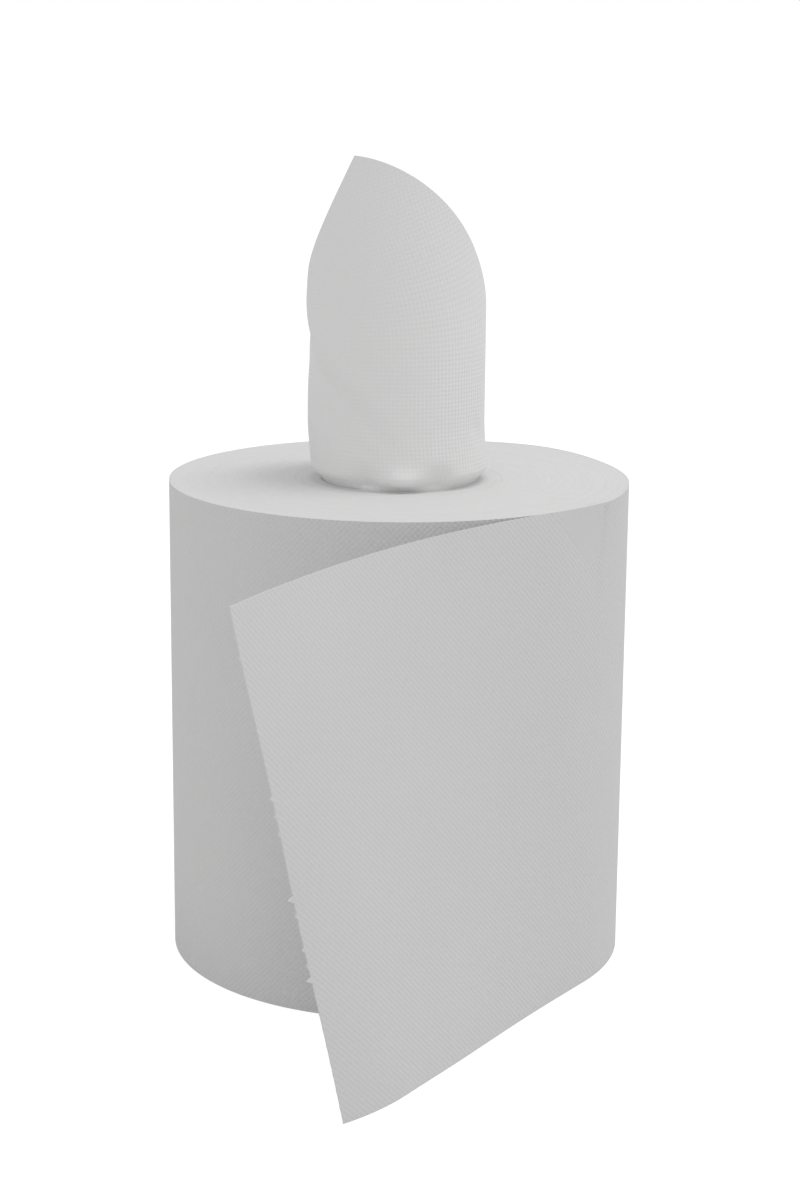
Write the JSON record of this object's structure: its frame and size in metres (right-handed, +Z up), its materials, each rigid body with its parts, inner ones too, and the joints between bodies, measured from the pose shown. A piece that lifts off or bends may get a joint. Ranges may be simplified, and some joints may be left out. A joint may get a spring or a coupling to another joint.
{
  "type": "centre-pull paper towel roll",
  "caption": "Coreless centre-pull paper towel roll on its end, with a loose outer tail and its inner end pulled up through the centre hole as a curled, pointed tube.",
  "frame": {"origin": "on the roll's axis, in the plane of the base it stands on", "axes": "+Z up along the roll's axis and centre hole, -Y towards the side that the loose tail hangs on"},
  "size_m": [0.1898, 0.3051, 0.3325],
  "materials": {
    "paper": "matt, finely embossed tissue"
  },
  "bodies": {
    "root": {"paper_roll": "paper"}
  },
  "joints": []
}
